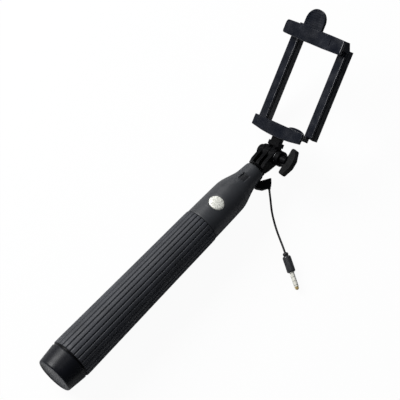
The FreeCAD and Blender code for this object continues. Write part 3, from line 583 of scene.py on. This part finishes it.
def build_housing():
    """A turned shell with an opening for the button and a shallow moulded recess on its collar."""
    outer = [
        (160.5, 14.05), (160.6, 14.35), (161.0, 14.46), (168.0, 14.36), (176.0, 14.22), (184.0, 14.06),
        (190.0, 13.92), (193.0, 13.78), (195.5, 13.45), (197.5, 13.05), (199.5, 12.48), (201.5, 11.85),
        (203.5, 11.20), (205.5, 10.55), (207.5, 9.95), (209.5, 9.42), (211.5, 9.02), (214.0, 8.72),
        (217.0, 8.50), (220.0, 8.27), (221.4, 8.05), (222.1, 7.72), (222.4, 7.35)]
    dense = []
    for (a, ra), (b, rb) in zip(outer, outer[1:]):
        parts = max(1, round((b - a) / RING_SPACING))
        for part in range(parts):
            share = part / parts
            dense.append((a + (b - a) * share, ra + (rb - ra) * share))
    dense.append(outer[-1])
    inner = [(222.4, COLLAR_BORE), (204.0, COLLAR_BORE), (192.0, HOUSING_BORE), (168.0, HOUSING_BORE),
             (168.0, GRIP_BORE), (160.5, GRIP_BORE), (160.5, 14.05)]

    def sculpt(along, radius, angle):
        """Leave the bore and the far side round; sink the seat, the rim round it and the recess.

        The seat is still closed here: the opening for the button is cut through it below."""
        if radius < 7.2 or (along < 204.0 and radius < 12.75):
            return radius
        angle = (angle + math.pi) % math.tau - math.pi
        across = radius * math.sin(angle)
        if math.cos(angle) <= 0:
            return radius
        off = math.hypot((along - BUTTON_ALONG) / OPENING_LENGTH, across / OPENING_WIDTH)
        if off < 1.0:
            return radius - SEAT_DEPTH
        dip = RIM_DIP * max(0.0, 1.0 - (off - 1.0) / RIM_SPREAD)
        edge = max(abs(along - NOTCH_ALONG) / NOTCH_HALF_LENGTH, abs(across) / NOTCH_HALF_WIDTH)
        share = smooth_step(min(1.0, max(0.0, (1.0 - edge) / NOTCH_EDGE)))
        floor = NOTCH_DEPTH + NOTCH_SLOPE * (along - NOTCH_ALONG)
        return radius - dip - share * floor

    whole = revolve("housing_whole", dense + inner, TRIGGER, 288, sculpt)
    turns = [math.tau * (step + 0.5) / OPENING_STEPS for step in range(OPENING_STEPS)]
    opening = prism("button_opening", "XY", [
        (BUTTON_ALONG + OPENING_LENGTH * math.cos(angle), OPENING_WIDTH * math.sin(angle)) for angle in turns],
        9.0, 16.0, TRIGGER)
    shell = new_object("housing_shell", combine(whole, [], [opening]))
    smooth(shell, 40.0)
    dress(shell, HOUSING, "handle", "housing_plastic", "upper_housing")
    # the recess's faces get the darker second material as painted shade
    shell.data.materials.append(SHADED_RECESS)
    to_trigger = TRIGGER.inverted()
    for face in shell.data.polygons:
        along, across, height = to_trigger @ (face.center / MM)
        if abs(along - NOTCH_ALONG) < 3.3 and abs(across) < 2.8 and height > 7.2:
            face.material_index = 1


def build_button():
    """An oval cap with a low dome, a rounded rim and a hidden flange."""
    steps = 72
    crown = 14.74
    rings = [(0.35, 14.72), (0.6, 14.66), (0.78, 14.56), (0.90, 14.40), (0.96, 14.22), (1.0, 13.9),
             (1.0, 12.4), (1.0, 10.2)]
    points = []
    for scale, height in rings:
        for step in range(steps):
            angle = math.tau * step / steps
            along = BUTTON_ALONG + BUTTON_HALF_LENGTH * scale * math.cos(angle)
            across = BUTTON_HALF_WIDTH * scale * math.sin(angle)
            fall = math.sqrt(SHELL_RADIUS ** 2 - across ** 2) - SHELL_RADIUS
            drop = fall * FOLLOW if height > 11 else 0.0
            points.append((along, across, height + drop))
    rows = len(rings)
    faces = ring_faces(rows, steps)
    centre = len(points)
    points.append((BUTTON_ALONG, 0.0, crown))
    faces += [(centre, (step + 1) % steps, step) for step in range(steps)]
    faces.append(tuple((rows - 1) * steps + step for step in range(steps)))
    cap = mesh_piece("button_cap", points, faces, TRIGGER)
    low, high, half = BUTTON_ALONG - 6.7, BUTTON_ALONG + 6.7, 5.3
    flange = prism("button_flange", "XY", round_corners(
        [(low, -half), (high, -half), (high, half), (low, half)], 1.0), 9.5, 10.25, TRIGGER)
    button = fuse("shutter_cap", [cap, flange])
    smooth(button, 40.0)
    dress(button, SILVER, "shutter_button", "button_silver", "shutter_button")


build_housing()
build_button()


# ---------------------------------------------------------------- telescopic tubes

TUBE_COUNT = 5
LAST_TUBE = TUBE_COUNT - 1
TUBE_WALL = 0.5
MOUTH_DEPTH = 5.0


def build_tubes():
    """The fixed base tube and the sliding ones, each with a rolled mouth that holds the next."""
    for index in range(TUBE_COUNT):
        outer = 6.9 - 0.9 * index
        inner = outer - TUBE_WALL
        back = 24.0 + 3.0 * index
        mouth = 221.4 + 0.35 * index
        neck = inner if index == LAST_TUBE else outer - 0.85
        lip = outer - 0.3 if index == LAST_TUBE else outer - 0.36
        name = "tube_sleeve_base" if index == 0 else f"tube_sleeve_{index}"
        profile = [
            (back, inner), (back, outer - 0.06), (back + 0.08, outer), (mouth - 1.6, outer),
            (mouth - 0.9, outer - 0.03), (mouth - 0.35, outer - 0.12), (mouth - 0.08, outer - 0.26), (mouth, lip),
            (mouth, neck + 0.05), (mouth - 0.05, neck)]
        if index < LAST_TUBE:
            profile += [(mouth - MOUTH_DEPTH, neck), (mouth - MOUTH_DEPTH, inner)]
        profile.append((back, inner))
        tube = revolve(name, profile, STICK, 72)
        body = "handle" if index == 0 else f"tube_{index}"
        node = "base_tube" if index == 0 else f"tube_{index}"
        dress(tube, CHROME, body, "tube_chrome", node)
        if index:
            coat(f"tube_{index}_bush", NYLON)


build_tubes()


# ---------------------------------------------------------------- lug of the lead

LUG_EXIT = Vector((221.6, -16.2, -2.9))
LUG_EXIT_DIRECTION = Vector((-0.40, -0.70, -0.59))
SLEEVE_RADIUS = 1.3


def build_lug():
    """The flat block at the collar that the lead comes out of, and the lead's ringed sleeve."""
    plan = round_corners(
        [(212.6, -7.2), (213.2, -10.6), (216.0, -14.6), (221.8, -17.6), (224.6, -15.4), (227.2, -12.8),
         (219.8, -8.8), (218.5, -7.2)], [0.3, 2.4, 2.6, 0.9, 1.2, 0.6, 0.8, 0.2])
    block = prism("lug_block", "XY", plan, -5.4, -0.4, STICK)
    soften(block, 0.55, 4)
    dress(block, GLOSS, "handle", "black_gloss", "cable_lug")
    lean = LUG_EXIT_DIRECTION.normalized().to_track_quat("X", "Z").to_matrix().to_4x4()
    place = STICK @ Matrix.Translation(LUG_EXIT) @ lean
    profile = [(0.0, 0.4), (0.0, SLEEVE_RADIUS), (1.1, SLEEVE_RADIUS)]
    for ring in range(3):
        start = 1.15 + 0.38 * ring
        reach = SLEEVE_RADIUS - 0.09 * ring
        profile += [(start, reach), (start + 0.08, reach - 0.14), (start + 0.22, reach - 0.14),
                    (start + 0.30, reach - 0.03)]
    profile += [(2.4, 0.95), (2.4, 0.5)]
    boot = revolve("lead_sleeve", profile, place, 40)
    dress(boot, RUBBER, "handle", "rubber_black", "cable_boot")


build_lug()


# ---------------------------------------------------------------- fork, knob and screw

SCREW_RADIUS = 2.0
BORE_RADIUS = 2.05
PLATE_CENTRES = (-6.0, 0.0, 6.0)
PLATE_HALF = 1.5
PLATE_RADIUS = 6.3
PLATE_ROOT = -15.8


def build_fork():
    """Three plates on a round base, a stem that turns in the last tube, and the seat of the nut."""
    base = revolve("fork_base", [
        (-17.2, 2.0), (-17.2, 7.05), (-16.9, 7.35), (-15.85, 7.35), (-15.6, 7.1), (-15.6, 2.0)], HINGE, 72)
    stem = revolve("fork_stem", [
        (-36.6, 1.2), (-36.6, 2.6), (-36.3, 2.72), (-16.0, 2.72), (-16.0, 1.2)], HINGE, 40)
    outline = [(PLATE_ROOT, -2.8), (-12.0, -3.8), (-2.4, -5.2)]
    outline += arc(PLATE_RADIUS, -105, 210, 28)
    outline += [(-2.4, 5.8), (-12.0, 5.1), (PLATE_ROOT, 3.6)]
    plates = [prism("plate", "XY", outline, centre - PLATE_HALF, centre + PLATE_HALF, HINGE)
              for centre in PLATE_CENTRES]
    boss = prism("nut_boss", "XY", disc(4.9), -10.7, -7.4, HINGE)
    bore = prism("pivot_bore", "XY", disc(BORE_RADIUS), -12.0, 9.0, HINGE)
    pocket = prism("nut_pocket", "XY", hexagon(7.06), -12.0, -7.7, HINGE)
    fork = fuse("fork_head", [base, stem] + plates + [boss], 0.35, [bore, pocket])
    dress(fork, GLOSS, "fork", "black_gloss", "fork")


def hexagon(flats):
    """A hexagon by the distance between its flats."""
    corner = flats / math.sqrt(3)
    return [(corner * math.sin(math.radians(60 * step)), corner * math.cos(math.radians(60 * step)))
            for step in range(6)]


def build_knob():
    """The thumb knob, a round boss with a wing across it, and the screw that it turns."""
    stem_end = 17.6
    boss = revolve_up("knob_boss", [
        (8.5, SCREW_RADIUS), (8.5, 5.6), (8.8, 6.0), (12.2, 6.0), (12.55, 5.7), (12.7, 4.1), (stem_end, 3.9),
        (stem_end + 0.6, 3.9), (stem_end + 0.6, SCREW_RADIUS)], KNOB, 56)
    outline = round_corners([
        (-9.9, 17.4), (9.9, 17.4), (10.9, 18.4), (10.9, 21.2), (3.2, 24.4), (-3.2, 24.4), (-10.9, 21.2),
        (-10.9, 18.4)], [0.6, 0.6, 0.6, 1.3, 2.6, 2.6, 1.3, 0.6])
    wing = prism("wing", "XZ", outline, -2.4, 2.4, KNOB)
    bore = prism("screw_bore", "XY", disc(SCREW_RADIUS), 7.0, 14.5, KNOB)
    knob = fuse("knob_wing", [boss, wing], 0.55, [bore])
    dress(knob, GLOSS, "knob", "black_gloss", "thumb_knob")
    screw = revolve_up("pivot_screw", [
        (-12.8, 0.5), (-12.8, 1.7), (-12.5, SCREW_RADIUS), (14.3, SCREW_RADIUS), (14.5, 1.8),
        (14.5, 0.5)], KNOB, 32)
    dress(screw, STEEL, "knob", "steel", "hinge_screw")


def revolve_up(name, profile, place, steps):
    """Turn a profile round the frame's Z axis."""
    return revolve(name, profile, place @ Matrix.Rotation(-math.pi / 2, 4, "Y"), steps)


build_fork()
build_knob()
coat("hinge_nut", STEEL)
coat("hinge_washer", STEEL)


# ---------------------------------------------------------------- clamp

PRONG_CENTRES = (-3.0, 3.0)
PRONG_HALF = 1.2
PRONG_RADIUS = 6.0
CLAMP_BACK = -10.7
BACK_FACE = -9.3
JAW_FLOOR = 20.3
JAW_SEAT = 21.9
RAIL_INNER = 20.9
RAIL_OUTER = 28.8
RAIL_FRONT = -5.5
LEG_BACK = -4.7
LEG_FRONT = -3.0
LEG_CENTRE = 24.85


def build_knuckle():
    """Two prongs between the fork's plates, a flange and the neck that carries the lower jaw."""
    outline = [(7.6, 2.2)] + arc(PRONG_RADIUS, 52, 256, 30) + [(7.6, -4.4)]
    prongs = [prism("prong", "XY", outline, centre - PRONG_HALF, centre + PRONG_HALF, CLAMP)
              for centre in PRONG_CENTRES]
    flange = prism("flange", "XY", round_corners(
        [(7.0, -4.4), (10.4, -4.4), (10.4, 2.2), (7.0, 2.2)], 0.5), -5.4, 5.4, CLAMP)
    neck = prism("neck", "XY", [(7.6, -2.6), (20.32, -2.6), (20.32, 1.2), (7.6, 1.2)], -4.6, 4.6, CLAMP)
    bore = prism("knuckle_bore", "XY", disc(BORE_RADIUS), -9.0, 9.0, CLAMP)
    knuckle = fuse("knuckle", prongs + [flange, neck], 0.4, [bore])
    dress(knuckle, GLOSS, "clamp", "black_gloss", "tilt_knuckle")
    coat("knuckle_screw", STEEL)


def build_lower_jaw():
    """A bowed lip, a floor that the rails stand on, two skirts, and a back wall with a dome."""
    half = 25.9
    lip = prism("lip", "XZ", round_corners([
        (16.0, -half), (14.4, -half * 0.55), (13.8, -half * 0.2), (13.8, half * 0.2), (14.4, half * 0.55),
        (16.0, half), (24.3, half), (24.3, -half)], [0.8, 8, 8, 8, 8, 0.8, 0.8, 0.8]), 2.9, 5.0, CLAMP)
    inner = 20.65
    floor = prism("floor", "XY", [
        (JAW_FLOOR, CLAMP_BACK), (JAW_SEAT, CLAMP_BACK), (JAW_SEAT, 3.4), (JAW_FLOOR, 3.4)], -inner, inner, CLAMP)
    sides = []
    for name, side in (("left", -1), ("right", 1)):
        low, high = sorted((side * (half - 1.5), side * (half - 3.5)))
        sides.append(prism(f"skirt_{name}", "XY", round_corners(
            [(18.0, 3.4), (JAW_SEAT, 3.4), (JAW_SEAT, -4.6), (JAW_FLOOR, -4.6)],
            [0, 0, 0.4, 0.4]), low, high, CLAMP))
    wall = prism("wall", "XZ", [
        (18.4, -inner), (JAW_SEAT, -inner), (JAW_SEAT, inner), (18.4, inner)], CLAMP_BACK, BACK_FACE, CLAMP)
    centre, width, rise = 6.5, 8.6, 3.5
    turns = [math.pi * step / 20 for step in range(21)]
    outline = [(JAW_FLOOR, centre - width)]
    outline += [(JAW_SEAT + rise * math.sin(a) ** 0.8, centre - width * math.cos(a)) for a in turns]
    outline.append((JAW_FLOOR, centre + width))
    dome = prism("dome", "XZ", outline, CLAMP_BACK, BACK_FACE, CLAMP)
    soften(lip, 0.9)
    jaw = fuse("lower_jaw", [lip, floor, wall, dome] + sides, 0.3)
    dress(jaw, CLAMP_PLASTIC, "clamp", "clamp_plastic", "bottom_jaw")


def rail_outline(side):
    """The section of a channel with a slot along its front."""
    outer = RAIL_OUTER * side
    inner = RAIL_INNER * side
    middle = (outer + inner) / 2
    slot = 1.4 * side
    wall = 0.6
    back, front = CLAMP_BACK, RAIL_FRONT
    return [(back, inner), (back, outer), (front, outer), (front, middle + slot), (front - wall, middle + slot),
            (front - wall, outer - wall * side), (back + wall, outer - wall * side),
            (back + wall, inner + wall * side), (front - wall, inner + wall * side), (front - wall, middle - slot),
            (front, middle - slot), (front, inner)]


def leg_outline(side):
    """The section of a leg inside its channel: a neck through the slot and a head round the spring."""
    middle = LEG_CENTRE * side
    neck = 1.1 * side
    head = 3.05 * side
    groove = 1.3 * side
    return [(LEG_BACK, middle - neck), (LEG_BACK, middle + neck), (-6.4, middle + neck), (-6.4, middle + head),
            (-9.8, middle + head), (-9.8, middle + groove), (-7.9, middle + groove), (-7.9, middle - groove),
            (-9.8, middle - groove), (-9.8, middle - head), (-6.4, middle - head), (-6.4, middle - neck)]


def build_rails():
    """Both channels with their feet, both sliding legs and their springs."""
    for name, side in (("left", -1), ("right", 1)):
        channel = prism("channel", "YZ", rail_outline(side), 21.95, 94.9, CLAMP)
        low, high = sorted((9.5 * side, 21.4 * side))
        foot = prism("foot", "YZ", [
            (-9.2, low), (-9.2, high), (-6.7, high), (-6.7, low)], 21.96, 22.75, CLAMP)
        rail = fuse(f"rail_{name}_channel", [channel, foot], 0.3)
        dress(rail, CLAMP_PLASTIC, "clamp", "clamp_plastic", f"rail_{name}")
        low, high = sorted((RAIL_INNER * side, RAIL_OUTER * side))
        bar = prism("bar", "YZ", round_corners(
            [(LEG_BACK, low), (LEG_BACK, high), (LEG_FRONT, high), (LEG_FRONT, low)],
            [0.3, 0.3, 1.1, 1.1]), 23.1, 93.0, CLAMP)
        head = prism("head", "YZ", leg_outline(side), 23.12, 88.0, CLAMP)
        leg = fuse(f"leg_{name}_bar", [bar, head], 0.35)
        dress(leg, CLAMP_PLASTIC, "slider", "clamp_plastic", f"leg_{name}")
        build_coil(name, side)


def build_coil(name, side):
    """A close-wound spring as a tube swept round a helix."""
    turns = 70
    steps = 12
    ring = 6
    reach, wire = 0.62, 0.17
    start, end, depth = 26.0, 82.0, -9.2
    points = []
    total = turns * steps
    for index in range(total + 1):
        angle = math.tau * index / steps
        along = start + 0.2 + (end - start - 0.4) * index / total
        out = Vector((0, math.cos(angle), math.sin(angle)))
        for part in range(ring):
            lean = math.tau * part / ring
            spot = out * (reach + wire * math.cos(lean)) + Vector((wire * math.sin(lean), 0, 0))
            points.append((along + spot.x, depth + spot.y, LEG_CENTRE * side + spot.z))
    faces = ring_faces(total + 1, ring)
    faces.append(tuple(range(ring)))
    faces.append(tuple(total * ring + part for part in range(ring - 1, -1, -1)))
    coil = smooth(mesh_piece(f"clamp_coil_{name}", points, faces, CLAMP))
    dress(coil, STEEL, "clamp", "steel", f"clamp_spring_{name}")


def build_foot_screws():
    """Two small domed heads, each with a cross cut in it."""
    screws = []
    slots = []
    half_length, half_width = 0.75, 0.14
    for side in (-1, 1):
        place = CLAMP @ Matrix.Translation((0, -7.95, 12.4 * side))
        screws.append(revolve(f"screw_{side}", [
            (22.7, 0.1), (22.7, 1.16), (22.95, 1.2), (23.2, 1.08), (23.38, 0.8), (23.44, 0.1)], place, 32))
        for turn_by in (0, 90):
            spin = place @ Matrix.Rotation(math.radians(turn_by + 20), 4, "X")
            slots.append(prism("slot", "YZ", [
                (-half_length, -half_width), (half_length, -half_width), (half_length, half_width),
                (-half_length, half_width)], 23.15, 23.8, spin))
    heads = fuse("foot_screw_heads", screws, None, slots)
    dress(heads, STEEL, "clamp", "steel", "foot_screws")


def build_upper_jaw():
    """A bowed lip, the body behind it with a sloping back, and a thumb tab with sunk grooves."""
    half = 30.7
    crown = [(100.7, half), (101.0, half * 0.5), (101.1, 0.0), (101.0, -half * 0.5), (100.7, -half)]
    lip = prism("lip", "XZ", round_corners(
        [(90.0, -half), (89.2, -half * 0.4), (88.9, half * 0.4), (89.2, half)] + crown,
        [2.0, 8, 8, 2.0, 2.6, 6, 6, 6, 3.0]), 4.4, 6.6, CLAMP)
    end = half - 0.4
    crown = [(100.6, end), (100.9, half * 0.5), (101.0, 0.0), (100.9, -half * 0.5), (100.6, -end)]
    body = prism("ceiling", "XZ", [(93.0, -end), (93.0, end)] + crown, -4.9, 5.2, CLAMP)
    slope = prism("slope", "XY", [(93.0, -5.4), (101.6, 0.0), (101.6, -6.0)], -half, half, CLAMP)
    nib = prism("nib", "XZ", round_corners([(99.0, -20.6), (99.0, -17.6), (101.8, -17.6), (101.8, -20.6)],
                                           [0, 0, 0.5, 0.5]), -0.6, 2.0, CLAMP)
    recess = prism("recess", "XZ", round_corners(
        [(92.9, 17.4), (97.9, 17.4), (97.9, 25.4), (92.9, 25.4)], 0.6), 6.15, 7.0, CLAMP)
    centre = -4.7
    width = 9.4
    bend = 115.9 - width
    turns = [math.pi * step / 24 for step in range(25)]
    outline = [(96.8, centre + width), (96.8, centre - width)]
    outline += [(bend + width * math.sin(a), centre - width * math.cos(a)) for a in turns]
    tab = prism("tab", "XZ", outline, 3.0, 5.6, CLAMP)
    grooves = []
    for index in range(7):
        start = 102.2 + 1.9 * index
        finish = start + 0.8
        across = min(7.2, math.sqrt(max(1.0, (width - 1.0) ** 2 - max(0.0, start + 0.9 - bend) ** 2)))
        grooves.append(prism("groove", "XZ", [
            (start, centre - across), (finish, centre - across), (finish, centre + across),
            (start, centre + across)], 4.95, 6.2, CLAMP))
    soften(lip, 0.9)
    jaw = fuse("upper_jaw", [lip, body, tab, nib], 0.3, [slope, recess] + grooves)
    dress(jaw, CLAMP_PLASTIC, "slider", "clamp_plastic", "top_jaw")


build_knuckle()
build_lower_jaw()
build_rails()
build_foot_screws()
build_upper_jaw()
for node in ("bottom_pad", "top_pad"):
    coat(node, PAD)


# ---------------------------------------------------------------- surface and light

HIDDEN_DEPTH = -0.0004


def floor_sheet(name, height, reach, tone, glow):
    """A level sheet with its own tone and its own light."""
    sheet_mesh = bpy.data.meshes.new(name)
    sheet_mesh.from_pydata([(-reach, -reach, height), (reach, -reach, height), (reach, reach, height),
                            (-reach, reach, height)], [], [(0, 1, 2, 3)])
    finish = bpy.data.materials.new(name + "_white")
    finish.use_nodes = True
    shader = finish.node_tree.nodes["Principled BSDF"]
    shader.inputs["Base Color"].default_value = (tone, tone, tone, 1)
    shader.inputs["Roughness"].default_value = 0.9
    shader.inputs["Specular IOR Level"].default_value = 0.0
    shader.inputs["Emission Color"].default_value = (1, 1, 1, 1)
    shader.inputs["Emission Strength"].default_value = glow
    sheet_mesh.materials.append(finish)
    sheet = new_object(name, sheet_mesh)
    sheet.visible_diffuse = False
    return sheet


def build_stage():
    """The white surface that is seen, and below it the one that is only mirrored in glossy faces."""
    floor = floor_sheet("floor", 0.0, 6.0, 0.05, 0.95)
    floor.visible_glossy = False
    floor.visible_shadow = False
    mirrored = floor_sheet("mirrored_floor", HIDDEN_DEPTH, 0.30, 0.85, 0.0)
    mirrored.visible_camera = False


def soft_light(name, place, aim, size, power):
    """A rectangular lamp that faces a point."""
    lamp = bpy.data.lights.new(name, "AREA")
    lamp.shape = "RECTANGLE"
    lamp.size, lamp.size_y = size
    lamp.energy = power
    light = bpy.data.objects.new(name, lamp)
    light.location = place
    light.rotation_euler = (Vector(aim) - Vector(place)).to_track_quat("-Z", "Y").to_euler()
    scene.collection.objects.link(light)


def build_light():
    """One strong lamp, two weak ones, and a dim bluish sky."""
    soft_light("key", (-0.30, 1.30, 0.80), (0.0, 0.0, 0.0), (1.0, 0.7), 34.0)
    soft_light("top", (-0.15, 0.30, 1.7), (0.0, 0.0, 0.0), (0.5, 0.5), 1.6)
    soft_light("rim", (0.9, 0.9, 0.35), (0.1, 0.0, 0.05), (0.5, 0.3), 2.0)
    world = bpy.data.worlds.new("studio")
    scene.world = world
    world.use_nodes = True
    background = world.node_tree.nodes["Background"]
    background.inputs["Color"].default_value = (0.85, 0.90, 1.0, 1)
    background.inputs["Strength"].default_value = 0.12


build_stage()
build_light()
scene.view_settings.view_transform = "Standard"
scene.view_settings.look = "None"
